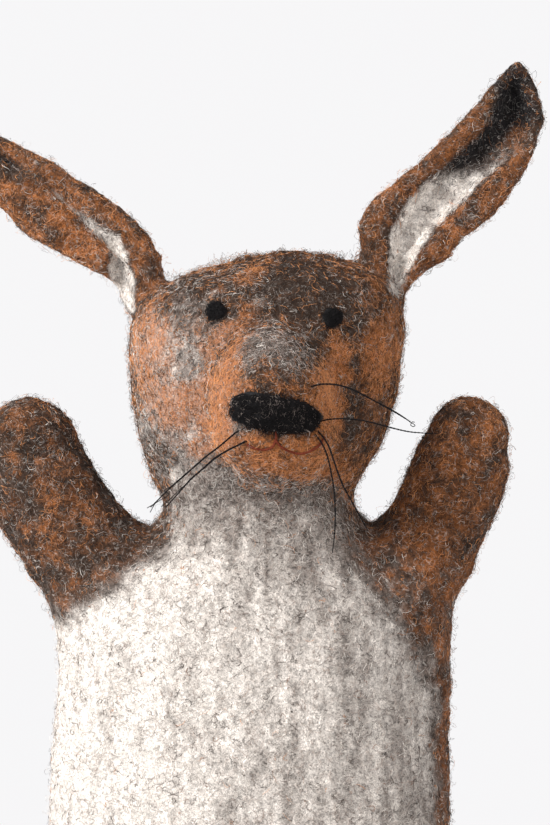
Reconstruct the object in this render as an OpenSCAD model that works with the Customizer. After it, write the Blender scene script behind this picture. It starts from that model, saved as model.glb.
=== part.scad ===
// Felted wool hand puppet of a long-eared animal.
// It stands on its hem at z = 0 and faces -Y. Its own left side is +X. Millimetres.

/* [Glove] */
// Width of the glove at the hem
body_w = 136; // [132:1:140]
// Depth of the glove, front to back
body_d = 76; // [72:1:80]
// Thickness of the felt wall
felt_t = 4; // [3:0.5:4.5]
// Thickness of the white wool layer on the chest and belly
belly_t = 2; // [1:0.5:3]

/* [Arms] */
// Radius of the left arm
left_arm_r = 16.5; // [15.5:0.5:17]
// Radius of the right arm
right_arm_r = 18; // [17:0.5:18.5]
// Lean of the left sleeve away from upright
left_arm_lean = 24; // [20:1:27]
// Lean of the right sleeve away from upright
right_arm_lean = 27; // [23:1:30]
// Shoulder to knuckle bend
sleeve_l = 28; // [26:1:30]
// Knuckle bend to the tip of the paw
paw_l = 29; // [27:1:32]

/* [Head] */
// Width of the head at the cheeks
head_w = 91; // [88:1:94]
// Depth of the head without its muzzle
head_d = 79; // [76:1:82]
// Radius of the round felt throat
neck_r = 32; // [31.5:0.5:32]
// Radius of the bore that the index finger fills
finger_r = 11; // [9:0.5:12]
// Depth of the finger pocket
pocket_l = 50; // [44:1:54]

/* [Face] */
// Radius of the muzzle
muzzle_r = 26; // [25:0.5:27]
// Radius of each black wool eye
eye_r = 3.6; // [3:0.1:4.2]
// Width of the nose
nose_w = 29; // [26:1:31]
// Height of the nose
nose_h = 12; // [10:0.5:13]
// Diameter of the stitched mouth thread
mouth_d = 0.8; // [0.6:0.1:1]
// Diameter of a whisker thread
whisker_d = 0.5; // [0.4:0.1:0.8]

/* [Ears] */
// Lean of the left ear away from upright
left_ear_lean = 33.5; // [30:0.5:36]
// Lean of the right ear away from upright
right_ear_lean = 51; // [48:0.5:53]
// Depth of the hollow in an ear
ear_cup = 8; // [6:0.5:10]
// Thickness of the wool layer inside an ear
lining_t = 1.5; // [1:0.25:2]

/* [Hidden] */
$fn = 64;
gap = 0.4;        // running room between bodies
skin_gap = 0.15;  // room between two layers that lie on each other
round_n = 32;     // points round a body, head or layer section

// Colours
rust_wool = [0.55, 0.33, 0.18];
grey_wool = [0.45, 0.40, 0.36];
white_wool = [0.86, 0.84, 0.80];
core_wool = [0.80, 0.76, 0.68];
black_wool = [0.06, 0.06, 0.06];
mouth_red = [0.36, 0.10, 0.07];

// Turning points
neck_at = [1, -1, 181];
left_shoulder = [54, 0, 166];
right_shoulder = [-52, 0, 163];
left_ear_at = [41.5, 3, 256];
right_ear_at = [-36, 3, 251];

// Body sections, from the hem up: [height, half width, half depth]
body_rx = body_w / 2;
body_ry = body_d / 2;
body_sections = [
    [0, body_rx, body_ry],
    [12, body_rx - 1, body_ry - 0.5],
    [76, body_rx - 1, body_ry],
    [122, body_rx - 2.5, body_ry - 0.5],
    [140, body_rx - 3.5, body_ry - 1.5],
    [150, body_rx - 7, body_ry - 2.5],
    [160, body_rx - 17, body_ry - 3.5],
    [168, body_rx - 28, body_ry - 4],
    [172, neck_r + 3.4, neck_r + 2.5],
];

// Head sections, from the throat up: [height, middle in x, half width, half depth]
head_rx = head_w / 2;
head_ry = head_d / 2;
head_mid = [3.6, 0, 222];
head_sections = [
    [190, 1.0, head_rx - 11.5, head_ry - 5],
    [201, 2.2, head_rx - 7.3, head_ry - 2.5],
    [210, 2.9, head_rx - 4.3, head_ry - 1],
    [220, 3.4, head_rx - 2, head_ry],
    [231, 3.6, head_rx - 0.9, head_ry],
    [241, 3.8, head_rx, head_ry - 1],
    [250, 3.5, head_rx - 2, head_ry - 3.5],
    [257, 4.5, head_rx - 9, head_ry - 8.5],
    [262, 7, head_rx - 19.5, head_ry - 16.5],
    [265.5, 10, head_rx - 30.5, head_ry - 25.5],
    [267, 11.5, head_rx - 39.5, head_ry - 33.5],
];

// Ear sections along the ear: [distance from the root, sideways shift, half width]
left_ear_sections = [
    [6, -1.5, 9.5], [11, -2.6, 13], [18, -2.2, 16], [26, -1, 16.8], [34, 1.8, 15.5],
    [50, 4.8, 14], [63, 5.8, 11.3], [75, 4.3, 8], [83, 1.5, 4.5], [89, -1.5, 1.5],
];
right_ear_sections = [
    [6, 5, 9.5], [14, 7.9, 10], [22, 7.9, 11.3], [32, 7.7, 11.8], [43, 5.4, 12],
    [55, 3.9, 11.5], [67, 3.3, 9.8], [79, 2.4, 7], [88, 1.2, 3.5], [92, 0.5, 1.5],
];
ear_root_r = 7.5;

// Muzzle and what is on it
muzzle_at = [5, -35, 217];
left_eye_at = [26, -32.5, 245];
right_eye_at = [-13, -34, 247];

// Routes of the whisker threads, hand laid, from the muzzle outwards
right_upper_route = [
    [-3, -57, 209], [-6, -59, 207], [-9, -59.5, 204.5], [-12, -59.5, 202],
    [-16, -58.5, 199], [-20, -57, 195.5], [-24, -55, 192], [-28, -53, 188.5],
    [-31, -51.5, 185.5], [-34, -50, 182.5],
];
right_lower_route = [
    [1, -56, 206], [-2, -58.5, 204.5], [-5, -59.5, 203], [-9, -59.5, 201],
    [-13, -59, 198.5], [-17, -57.5, 195], [-21, -56, 191.5], [-25, -54, 187],
    [-29, -52, 182.5],
];
left_upper_route = [
    [18.5, -56, 222], [21, -58, 222.6], [24, -59, 222.8], [28, -59, 222.3],
    [32, -58.5, 221], [36, -57.5, 219], [41, -56, 216.3], [46, -54.5, 213.5],
    [51, -53, 210.5],
];
left_lower_route = [
    [21, -54.5, 210.5], [24, -57, 211.2], [28, -58, 211.5], [33, -58, 211.2],
    [38, -57.5, 210.3], [44, -56.5, 208.7], [50, -55, 207.3], [55, -53.5, 206.8],
    [60, -52, 206.5],
];
chin_inner_route = [
    [18, -55.5, 208], [20.5, -57.5, 205.5], [22.5, -58, 202.5], [24, -57.5, 198.5],
    [25, -56.5, 194], [26, -55.5, 188], [26.4, -54.5, 181], [26.2, -53.5, 174],
    [25.5, -52.5, 167.5],
];
chin_outer_route = [
    [19.5, -55, 208.5], [22, -57.5, 206], [24, -58.5, 203], [25.5, -59, 199],
    [27, -58.5, 194.5], [29, -57.5, 189.5], [32, -56.5, 184], [35, -55.5, 178.5],
    [37, -54.5, 175],
];

// Mouth: corners and low points of the two curved stitches, as [x, z]
mouth_right_line = [[-2.5, 203], [0, 201.8], [3, 201.3], [5.8, 202.2], [6.9, 204.5]];
mouth_left_line = [[7, 204.3], [9, 202], [12, 200.6], [15, 200], [18, 200.8], [21, 202.6], [23, 205.6]];
philtrum_line = [[6.9, 207.5], [7, 205.5], [7, 203.5]];

// Points of an ellipse at height z
function ellipse(z, cx, rx, ry) =
    [for (i = [0 : round_n - 1]) [cx + rx * cos(360 * i / round_n), ry * sin(360 * i / round_n), z]];

// A closed solid over a list of rings, each with an even number of points, which run
// anticlockwise as seen from the far end. An end is closed by a strip of triangles.
module loft(rings, looped = false) {
    n = len(rings[0]);
    m = len(rings);
    bands = looped ? m : m - 1;
    side_faces = [
        for (k = [0 : bands - 1], i = [0 : n - 1], half = [0, 1])
            let (a = k * n, b = ((k + 1) % m) * n, j = (i + 1) % n)
                half == 0 ? [a + i, b + i, b + j] : [a + i, b + j, a + j]
    ];
    end_faces = looped ? [] : [
        for (i = [0 : n / 2 - 2], half = [0, 1])
            let (c = n - 1 - i, top = (m - 1) * n)
                each half == 0
                    ? [[i, i + 1, c - 1], [top + c - 1, top + i + 1, top + i]]
                    : [[i, c - 1, c], [top + c, top + c - 1, top + i]]
    ];
    polyhedron([for (r = rings, p = r) p], concat(side_faces, end_faces), convexity = 6);
}

function reversed(list) = [for (i = [len(list) - 1 : -1 : 0]) list[i]];

// The glove's sections, moved in by a wall thickness
function body_rings(inset) =
    [for (s = body_sections) ellipse(s[0], 0, s[1] - inset, s[2] - inset)];

// The head's sections, drawn in towards its middle
function head_rings(k) = [
    for (s = head_sections)
        ellipse(head_mid[2] + k * (s[0] - head_mid[2]), head_mid[0] + k * (s[1] - head_mid[0]),
            k * s[2], k * s[3])
];
inner_k = (head_rx - felt_t) / head_rx;

// The two round spaces that the shoulders turn in, and the throat's
shoulder_room = 2;  // a shoulder's round space is this much larger than its arm
module turning_room() {
    translate(left_shoulder) sphere(r = left_arm_r + shoulder_room);
    translate(right_shoulder) sphere(r = right_arm_r + shoulder_room);
    translate(neck_at) sphere(r = neck_r + gap);
}

module body_glove() {
    color(grey_wool)
    difference() {
        loft(concat(body_rings(0), reversed(body_rings(felt_t))), looped = true);
        turning_room();
    }
}

// The white layer covers the front of the glove, from the right flank to short of the left one
belly_from = 184;
belly_to = 330;
belly_n = 20;
function belly_ring(s) = concat(
    [for (i = [0 : belly_n]) let (a = belly_from + (belly_to - belly_from) * i / belly_n)
        [(s[1] + belly_t) * cos(a), (s[2] + belly_t) * sin(a), s[0]]],
    [for (i = [belly_n : -1 : 0]) let (a = belly_from + (belly_to - belly_from) * i / belly_n)
        [(s[1] + skin_gap) * cos(a), (s[2] + skin_gap) * sin(a), s[0]]]
);
belly_bottom = 4;

module belly_layer() {
    hem_taper = body_sections[1] - body_sections[0];
    low = body_sections[0] + hem_taper * belly_bottom / hem_taper[0];
    color(white_wool)
    difference() {
        loft([for (s = concat([low], [for (k = [1 : 7]) body_sections[k]])) belly_ring(s)]);
        turning_room();
    }
}

// A round felt band that the head rocks on
collar_low = 17;
collar_high = 15;
module neck_collar() {
    color(grey_wool)
    translate(neck_at)
    difference() {
        intersection() {
            sphere(r = neck_r);
            translate([0, 0, -collar_low]) cylinder(r = neck_r + 1, h = collar_low + collar_high);
        }
        sphere(r = neck_r - felt_t);
    }
}

// A root ball is open below this share of its radius, so that a finger can pass
ball_open = 0.45;
module root_opening(ball_r) {
    translate([0, 0, -ball_r * (1 + ball_open)]) cylinder(r = ball_r + 1, h = ball_r);
}

// The sleeve: a hollow ball at the shoulder that runs on into a tube, open at both ends.
// Its far rim is cut back in front so that the paw can curl.
knuckle_room = 0.5;  // the paw's round seat is this much larger than the arm
rim_slope = 42;      // slope of the cut in the rim
module sleeve(arm_r) {
    ball_r = arm_r + shoulder_room - gap;
    difference() {
        union() {
            sphere(r = ball_r);
            cylinder(r = arm_r, h = sleeve_l);
        }
        sphere(r = ball_r - felt_t);
        cylinder(r = arm_r - felt_t, h = sleeve_l + 1);
        root_opening(ball_r);
        translate([0, 0, sleeve_l]) sphere(r = arm_r + knuckle_room);
        translate([0, 0, sleeve_l]) rotate([rim_slope, 0, 0])
            translate([-2 * arm_r, -3 * arm_r, 0]) cube([4 * arm_r, 3 * arm_r, 2 * arm_r]);
    }
}

// The paw: a hollow closed end with a ball root that turns inside the sleeve's rim
paw_taper = 1.5;  // the tip is this much thinner than the arm
module paw(arm_r) {
    root_r = arm_r + knuckle_room - gap;
    tip_r = arm_r - paw_taper;
    straight_l = paw_l - tip_r;
    difference() {
        union() {
            sphere(r = root_r);
            cylinder(r1 = arm_r, r2 = tip_r, h = straight_l);
            translate([0, 0, straight_l]) sphere(r = tip_r);
        }
        sphere(r = root_r - felt_t);
        cylinder(r1 = arm_r - felt_t, r2 = tip_r - felt_t, h = straight_l);
        translate([0, 0, straight_l]) sphere(r = tip_r - felt_t);
        root_opening(root_r);
    }
}

paw_bend = 7;  // the paw stands more upright than its sleeve

module left_sleeve() {
    color(rust_wool) translate(left_shoulder) rotate([0, left_arm_lean, 0]) sleeve(left_arm_r);
}

module left_paw() {
    color(rust_wool) translate(left_shoulder) rotate([0, left_arm_lean, 0])
        translate([0, 0, sleeve_l]) rotate([0, -paw_bend, 0]) paw(left_arm_r);
}

module right_sleeve() {
    color(rust_wool) translate(right_shoulder) rotate([0, -right_arm_lean, 0]) sleeve(right_arm_r);
}

module right_paw() {
    color(rust_wool) translate(right_shoulder) rotate([0, -right_arm_lean, 0])
        translate([0, 0, sleeve_l]) rotate([0, paw_bend, 0]) paw(right_arm_r);
}

module head_shell() {
    color(rust_wool) {
        difference() {
            loft(concat(reversed(head_rings(inner_k)), head_rings(1)));
            translate(neck_at) sphere(r = neck_r + gap);
            translate(left_ear_at) sphere(r = ear_root_r);
            translate(right_ear_at) sphere(r = ear_root_r);
            translate(left_eye_at) sphere(r = eye_r);
            translate(right_eye_at) sphere(r = eye_r);
        }
        translate(left_ear_at) sphere(r = ear_root_r);
        translate(right_ear_at) sphere(r = ear_root_r);
    }
}

// The stuffing is a little smaller than the shell's inside, and open where the pocket goes in
stuffing_k = inner_k - 0.006;
pocket_lead = 6;  // the hole for the pocket starts this far below it
module head_stuffing() {
    color(core_wool)
    difference() {
        loft(head_rings(stuffing_k));
        translate(neck_at) sphere(r = neck_r + gap);
        translate(left_ear_at) sphere(r = ear_root_r + skin_gap);
        translate(right_ear_at) sphere(r = ear_root_r + skin_gap);
        translate([neck_at[0], neck_at[1], pocket_z - pocket_lead])
            cylinder(r = pocket_outer_r + skin_gap, h = pocket_lead + pocket_l + pocket_wall + skin_gap);
    }
}

pocket_z = 186;
pocket_wall = 2;
pocket_outer_r = finger_r + pocket_wall;
module finger_pocket() {
    color(core_wool)
    translate([neck_at[0], neck_at[1], pocket_z])
    difference() {
        cylinder(r = pocket_outer_r, h = pocket_l + pocket_wall);
        translate([0, 0, -1]) cylinder(r = finger_r, h = pocket_l + 1);
    }
}

// The back of the muzzle lies a hair outside the head's skin
muzzle_seat_k = 1.004;
module muzzle() {
    color(grey_wool)
    difference() {
        translate(muzzle_at) sphere(r = muzzle_r);
        loft(head_rings(muzzle_seat_k));
    }
}

// The nose: a bar of black wool with round ends, low on its left side, pressed into the muzzle
nose_at = [6.7, -57, 213.5];
nose_tilt = 9;
module nose() {
    color(black_wool)
    translate(nose_at) rotate([0, nose_tilt, 0]) hull() {
        for (side = [-1, 1])
            translate([side * (nose_w - nose_h) / 2, 0, 0]) sphere(d = nose_h, $fn = 28);
    }
}

eye_room = 0.05;
module left_eye() {
    color(black_wool) translate(left_eye_at) sphere(r = eye_r - eye_room);
}

module right_eye() {
    color(black_wool) translate(right_eye_at) sphere(r = eye_r - eye_room);
}

// Section of an ear sheet, hollow towards the front, from its near face to its far one.
// first is the angle at which it starts from the rim.
ear_n = 12;
full_cup_half = 11;  // a section at least this wide each way has the whole hollow
function cup_at(half) = ear_cup * min(1, half / full_cup_half);
function sheet_arc(s, first, y) = [
    for (i = [0 : ear_n])
        let (a = first + (180 - 2 * first) * i / ear_n)
            [s[1] + s[2] * cos(a), cup_at(s[2]) * sin(a) + y, s[0]]
];
function sheet_ring(s, first, near, far) =
    concat(sheet_arc(s, first, far), reversed(sheet_arc(s, first, near)));

module ear_sheet(sections, first, near, far) {
    difference() {
        loft([for (s = sections) sheet_ring(s, first, near, far)]);
        sphere(r = ear_root_r + gap);
    }
}

module felt_ear(sections) {
    ear_sheet(sections, 0, -felt_t / 2, felt_t / 2);
}

// The lining lies on the front face of the ear and leaves its rims bare
lining_first = 44;
module wool_lining(sections) {
    far = -felt_t / 2 - skin_gap;
    ear_sheet(sections, lining_first, far - lining_t, far);
}

ear_tip_back = 7;  // the ears lean back a little
module place_left_ear() {
    translate(left_ear_at) rotate([0, left_ear_lean, 0]) rotate([-ear_tip_back, 0, 0]) children();
}

module place_right_ear() {
    translate(right_ear_at) rotate([0, -right_ear_lean, 0]) rotate([-ear_tip_back, 0, 0]) children();
}

module left_ear() {
    color(rust_wool) place_left_ear() felt_ear(left_ear_sections);
}

module right_ear() {
    color(rust_wool) place_right_ear() felt_ear(right_ear_sections);
}

module left_ear_lining() {
    color(white_wool) place_left_ear() wool_lining(left_ear_sections);
}

module right_ear_lining() {
    color(white_wool) place_right_ear() wool_lining(right_ear_sections);
}

// A thread swept along a route: a ring of points square to the route at each of its points
thread_n = 8;
function along(route, i) =
    let (a = route[max(0, i - 1)], b = route[min(len(route) - 1, i + 1)], d = b - a) d / norm(d);
function thread_ring(route, i, r) =
    let (
        t = along(route, i),
        side = abs(t[1]) < 0.9 ? [0, 1, 0] : [1, 0, 0],
        u = cross(side, t) / norm(cross(side, t)),
        v = cross(t, u)
    )
    [for (k = [0 : thread_n - 1]) route[i] + r * (u * cos(360 * k / thread_n) + v * sin(360 * k / thread_n))];
module thread(route, d) {
    loft([for (i = [0 : len(route) - 1]) thread_ring(route, i, d / 2)]);
}

// A smooth route through the hand-laid points
function between(a, b, c, d, t) =
    0.5 * ((2 * b) + (c - a) * t + (2 * a - 5 * b + 4 * c - d) * t * t + (3 * b - a - 3 * c + d) * t * t * t);
thread_steps = 3;
function smooth(p) =
    let (m = len(p) - 1) concat(
        [for (i = [0 : m - 1], k = [0 : thread_steps - 1])
            between(p[max(0, i - 1)], p[i], p[i + 1], p[min(m, i + 2)], k / thread_steps)],
        [p[m]]
    );

module whisker(route) {
    color(black_wool) thread(smooth(route), whisker_d);
}

// A stitch lies half sunk in the muzzle's front
function on_muzzle(x, z) =
    [x, muzzle_at[1] - sqrt(muzzle_r * muzzle_r - pow(x - muzzle_at[0], 2) - pow(z - muzzle_at[2], 2)), z];
function stitch_route(line) = [for (p = line) on_muzzle(p[0], p[1])];

module mouth_thread() {
    color(mouth_red)
    union() {
        thread(smooth(stitch_route(mouth_right_line)), mouth_d);
        thread(smooth(stitch_route(mouth_left_line)), mouth_d);
        thread(smooth(stitch_route(philtrum_line)), mouth_d);
    }
}

body_glove();
belly_layer();
neck_collar();
left_sleeve();
right_sleeve();
left_paw();
right_paw();
head_shell();
head_stuffing();
finger_pocket();
muzzle();
nose();
left_eye();
right_eye();
left_ear();
right_ear();
left_ear_lining();
right_ear_lining();
mouth_thread();
whisker(right_upper_route);  // whisker_right_upper
whisker(right_lower_route);  // whisker_right_lower
whisker(left_upper_route);  // whisker_left_upper
whisker(left_lower_route);  // whisker_left_lower
whisker(chin_inner_route);  // whisker_chin_inner
whisker(chin_outer_route);  // whisker_chin_outer
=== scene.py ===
"""The looks of the felted hare-like hand puppet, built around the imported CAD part.

Lengths in the lists below are in millimetres in the part's own frame: +X is the puppet's left,
it faces -Y, and the hem is at Z 0. Meshes are turned into metres when they are made.
"""

import itertools
import math

import bpy
import numpy as np
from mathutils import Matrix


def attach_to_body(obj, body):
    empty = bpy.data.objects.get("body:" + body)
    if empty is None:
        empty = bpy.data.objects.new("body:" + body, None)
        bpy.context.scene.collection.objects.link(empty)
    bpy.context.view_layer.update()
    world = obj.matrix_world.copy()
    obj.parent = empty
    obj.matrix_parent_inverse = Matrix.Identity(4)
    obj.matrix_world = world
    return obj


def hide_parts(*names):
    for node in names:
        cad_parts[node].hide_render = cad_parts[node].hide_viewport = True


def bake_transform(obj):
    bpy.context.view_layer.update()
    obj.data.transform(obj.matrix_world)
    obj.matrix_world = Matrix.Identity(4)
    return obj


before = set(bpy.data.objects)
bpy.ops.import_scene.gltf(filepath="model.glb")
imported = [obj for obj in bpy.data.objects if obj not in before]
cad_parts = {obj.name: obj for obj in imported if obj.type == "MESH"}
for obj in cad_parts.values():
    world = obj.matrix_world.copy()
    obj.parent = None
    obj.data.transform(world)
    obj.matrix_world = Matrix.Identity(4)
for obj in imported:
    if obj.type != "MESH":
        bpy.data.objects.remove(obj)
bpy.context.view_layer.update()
MM = 0.001

# ---- Measures

# Glove sections from the hem up: height, middle in x, half width, half depth
GLOVE = [
    (-12, -1.5, 67.0, 37.6), (0, -1.5, 67.0, 37.6), (40, -2.0, 67.0, 38.0), (76, -2.0, 67.0, 38.0),
    (110, -1.0, 66.0, 37.6), (138, 0.5, 64.4, 36.8), (150, 0.5, 60.0, 35.6), (160, 0.5, 50.0, 33.8),
    (168, 1.5, 40.0, 31.0), (176, 2.0, 33.0, 28.5), (190, 1.0, 26.0, 24.0),
]

# Neck and head sections from the shoulders up
HEAD = [
    (150, 2.0, 36.0, 27.0), (168, 2.0, 34.0, 27.2), (173, 2.3, 33.0, 27.4), (181, 1.8, 31.6, 27.6),
    (187, 0.3, 32.2, 28.2), (193, 0.4, 35.2, 30.2), (201, 1.7, 39.0, 34.0), (210, 2.4, 42.0, 37.2),
    (220, 3.1, 44.3, 38.8), (230, 3.3, 45.2, 39.2), (241, 3.7, 45.8, 38.4), (248, 4.4, 44.4, 36.2),
    (254, 6.2, 40.6, 31.8), (258, 8.2, 35.4, 26.8), (262, 11.2, 26.0, 19.6), (265, 12.2, 16.0, 12.0),
    (267.6, 12.5, 1.0, 1.0),
]
HEAD_TOP = 267.4

# The felt's thickness, and how much deeper an ear's lining lies than its rim
WALL = 4.6
EAR_CUP = 4.6

# Arms as chains of balls: x, z, radius
LEFT_ARM = [
    (44.5, 150, 20.0), (55.5, 167, 17.6), (61.5, 177, 16.2), (66, 186.8, 16.3), (69.4, 196.8, 15.6),
    (71.4, 205, 13.8),
]
RIGHT_ARM = [
    (-45, 145.5, 21.0), (-52.8, 161.8, 20.0), (-61, 172, 18.6), (-67, 181, 18.2),
    (-71.8, 189.6, 18.4), (-75, 199.2, 17.3), (-76, 202.2, 16.0),
]
ARM_DEPTH = 0.86
ARM_BALLS = {"left": LEFT_ARM, "right": RIGHT_ARM}
SIDES = ("left", "right")


class Limb:
    """An arm or an ear: its hinge, and the way it points, which leans outwards by some degrees."""

    def __init__(self, hinge, lean):
        angle = math.radians(lean)
        self.hinge = np.array(hinge)
        self.way = np.array([math.copysign(math.sin(angle), hinge[0]), 0.0, math.cos(angle)])

    def along(self, points):
        """How far points are along the limb from its hinge."""
        return (points - self.hinge) @ self.way

    def spot(self, distance):
        """A point in metres at a distance along the limb from its hinge."""
        return tuple(MM * (self.hinge + distance * self.way))


ARMS = {"left": Limb((54.0, 0.0, 166.0), 24), "right": Limb((-52.0, 0.0, 163.0), 27)}
EARS = {"left": Limb((41.5, 3.0, 256.0), 33.5), "right": Limb((-36.0, 3.0, 251.0), 51)}

# Outlines of the ears and of their linings, seen from the front: x, z
LEFT_EAR = [
    (36, 254), (37, 262.8), (36.3, 267.5), (34.7, 274), (35.3, 278.7), (39.3, 285), (48.7, 291.5),
    (62.2, 303.8), (73.9, 316), (82.7, 327), (88.8, 333), (95.4, 322), (96.6, 314), (94.8, 302.5),
    (90.2, 292.5), (81.4, 281), (69.4, 270.7), (54.2, 258.8), (50.8, 255.2), (47, 246), (39, 246),
]
LEFT_LINING = [
    (43.5, 252), (43.5, 262), (44.1, 275.1), (49.9, 285), (57.5, 293.2), (68.7, 302),
    (76.8, 310.2), (82.1, 322.5), (88, 328), (93.2, 318), (93.6, 308.4), (86.8, 297.9),
    (76.8, 289.1), (68.7, 281.5), (59.3, 271.6), (55.2, 265.7), (51.1, 257.6), (49, 250),
]
RIGHT_EAR = [
    (-30.3, 256), (-31.8, 265.4), (-35.3, 272.4), (-40.7, 278.8), (-50, 285.9), (-61.7, 293),
    (-73.3, 301), (-85, 306.4), (-97, 309.8), (-106, 309.4), (-103, 301), (-96, 292), (-85, 283),
    (-79.2, 275.3), (-70.4, 269.5), (-61.7, 266), (-54.7, 260.7), (-49.3, 258.3), (-45.3, 253.7),
    (-43, 248), (-34, 246),
]
RIGHT_LINING = [
    (-38.0, 246), (-38.5, 256), (-41.5, 266), (-44.7, 273.7), (-61.6, 284), (-73.3, 294.6),
    (-85, 301), (-98, 306), (-100, 302), (-85, 296), (-73.3, 291.7), (-62.8, 281.2),
    (-50.5, 267.7), (-49.6, 259), (-46, 250), (-44, 244),
]
EAR_OUTLINES = {"left": LEFT_EAR, "right": RIGHT_EAR}
LININGS = {"left": LEFT_LINING, "right": RIGHT_LINING}

# The mouth is stitched in red thread: x, z of each stitch
MOUTH = [
    [(-2.5, 203), (0, 201.8), (3, 201.3), (5.8, 202.2), (6.9, 204.5)],
    [(7, 204.3), (9, 202), (12, 200.6), (15, 200), (18, 200.8), (21, 202.6), (23, 205.6)],
    [(6.9, 207.5), (7, 205.5), (7, 203.5)],
]

# Muzzle: middle and half sizes of the balls of wool felted onto the face
MUZZLE_BALLS = [
    ((5.5, -38.0, 217.0), (20.0, 23.5, 25.0)),
    ((-2.0, -47.0, 205.5), (10.5, 11.5, 8.5)),
    ((15.5, -46.0, 204.5), (11.0, 11.5, 8.5)),
    ((8.0, -40.0, 197.0), (13.0, 12.5, 8.5)),
]

# ---- Numbers that look random

LATTICE = np.random.default_rng(7).random((32, 32, 32)).astype(np.float32)


def between(table, low, part):
    """Values between a table's entries, which start again at its end; part is the way on from low."""
    total = np.zeros(len(low), np.float32)
    for corner in itertools.product((0, 1), repeat=3):
        i, j, k = ((low + np.array(corner)) % table.shape).T
        total += table[i, j, k] * np.prod(np.where(corner, part, 1 - part), axis=1)
    return total


def noise(points, cell, shift=0.0):
    """Smooth random values from -1 to 1 that change over about one cell, in millimetres."""
    place = points / cell + shift
    low = np.floor(place).astype(np.int32)
    part = (place - low).astype(np.float32)
    return 2 * between(LATTICE, low, part * part * (3 - 2 * part)) - 1


def smooth(low, high, value):
    """0 below low, 1 above high, and a smooth step between them."""
    t = np.clip((value - low) / (high - low), 0, 1)
    return t * t * (3 - 2 * t)


def unit(vectors):
    """Vectors in the same directions, each 1 long."""
    return vectors / np.maximum(np.linalg.norm(vectors, axis=-1, keepdims=True), 1e-9)


# ---- The felt as a field

# A field gives each point's distance outside the felt, in millimetres, and is negative in it.
# It is worked out on a grid with this pitch and these corners.
PITCH = 1.25
GRID_LOW = np.array([-112.0, -70.0, -4.0])
GRID_HIGH = np.array([100.0, 46.0, 336.0])


def grid_axes():
    counts = np.ceil((GRID_HIGH - GRID_LOW) / PITCH).astype(int)
    return [(GRID_LOW[a] + PITCH * np.arange(counts[a])).astype(np.float32) for a in range(3)]


def union(a, b, softness):
    """The two fields together, with a fillet about as wide as softness."""
    h = np.clip(0.5 + 0.5 * (b - a) / softness, 0, 1)
    return b + h * (a - b) - softness * h * (1 - h)


def cut_away(a, b, softness):
    """Field a without what is inside field b, with a rounded edge."""
    return -union(-a, b, softness)


def column(sections, x, y, z, inset=0.0):
    """A tube of smoothly changing oval sections, closed nowhere."""
    table = np.array(sections, float)
    fine = np.linspace(table[0, 0], table[-1, 0], 400)
    kernel = np.hanning(21) / np.hanning(21).sum()
    smoothed = []
    for value in table[:, 1:].T:
        line = np.interp(fine, table[:, 0], value)
        padded = np.pad(line, 10, mode="edge")
        smoothed.append(np.convolve(padded, kernel, mode="valid"))
    middle, wide, deep = [np.interp(z, fine, line).astype(np.float32) for line in smoothed]
    wide = np.maximum(wide - inset, 0.5)
    deep = np.maximum(deep - inset, 0.5)
    raw = np.sqrt(((x - middle) / wide) ** 2 + (y / deep) ** 2) - 1
    slope = np.sqrt(sum(g * g for g in np.gradient(raw, PITCH)))
    return raw / np.maximum(slope, 1 / 60)


def beside(x, z, start, end):
    """How far along a stretch in the front view places are, from 0 to 1, and how far off it in x and z."""
    dx, dz = end[0] - start[0], end[1] - start[1]
    t = np.clip(((x - start[0]) * dx + (z - start[1]) * dz) / (dx * dx + dz * dz), 0, 1)
    return t, x - start[0] - t * dx, z - start[1] - t * dz


def chain(balls, x, y, z, inset=0.0, squash=1.0):
    """A limb through a row of balls."""
    deep = y / squash
    result = None
    for start, end in zip(balls, balls[1:]):
        t, off_x, off_z = beside(x, z, start, end)
        away = np.sqrt(off_x ** 2 + deep ** 2 + off_z ** 2)
        ball = away - (start[2] + t * (end[2] - start[2]) - inset)
        result = ball if result is None else np.minimum(result, ball)
    return result * squash


def rod(start, end, radius, x, y, z):
    """A straight round-ended rod."""
    start, end = np.array(start, float), np.array(end, float)
    run = end - start
    t = (x - start[0]) * run[0] + (y - start[1]) * run[1] + (z - start[2]) * run[2]
    t = np.clip(t / (run @ run), 0, 1)
    away = [v - start[a] - t * run[a] for a, v in enumerate((x, y, z))]
    return np.sqrt(sum(v * v for v in away)) - radius


def egg(middle, halves, x, y, z):
    """An egg or ball with three half sizes."""
    parts = [(v - middle[a]) / halves[a] for a, v in enumerate((x, y, z))]
    near = np.sqrt(sum(v * v for v in parts))
    slope = np.sqrt(sum((v / halves[a]) ** 2 for a, v in enumerate(parts)))
    return near * (near - 1) / np.maximum(slope, 1e-6)


def outline_distance(outline, x, z):
    """Distance from a closed outline in the front view, negative inside it."""
    x, z = np.broadcast_arrays(x, z)
    best = np.full(x.shape, 1e9)
    inside = np.zeros(x.shape, bool)
    for start, end in zip(outline, outline[1:] + outline[:1]):
        _, off_x, off_z = beside(x, z, start, end)
        best = np.minimum(best, off_x ** 2 + off_z ** 2)
        crosses = (start[1] > z) != (end[1] > z)
        rise = (end[1] - start[1]) or 1e-9
        inside ^= crosses & (x < start[0] + (z - start[1]) * (end[0] - start[0]) / rise)
    return np.where(inside, -1, 1) * np.sqrt(best)


def softened(line):
    """A closed outline with its corners rounded off."""
    points = np.array(line, float)
    for _ in range(2):
        after = np.roll(points, -1, axis=0)
        near, far = 0.75 * points + 0.25 * after, 0.25 * points + 0.75 * after
        points = np.stack([near, far], 1).reshape(-1, 2)
    return [tuple(p) for p in points]


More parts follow.
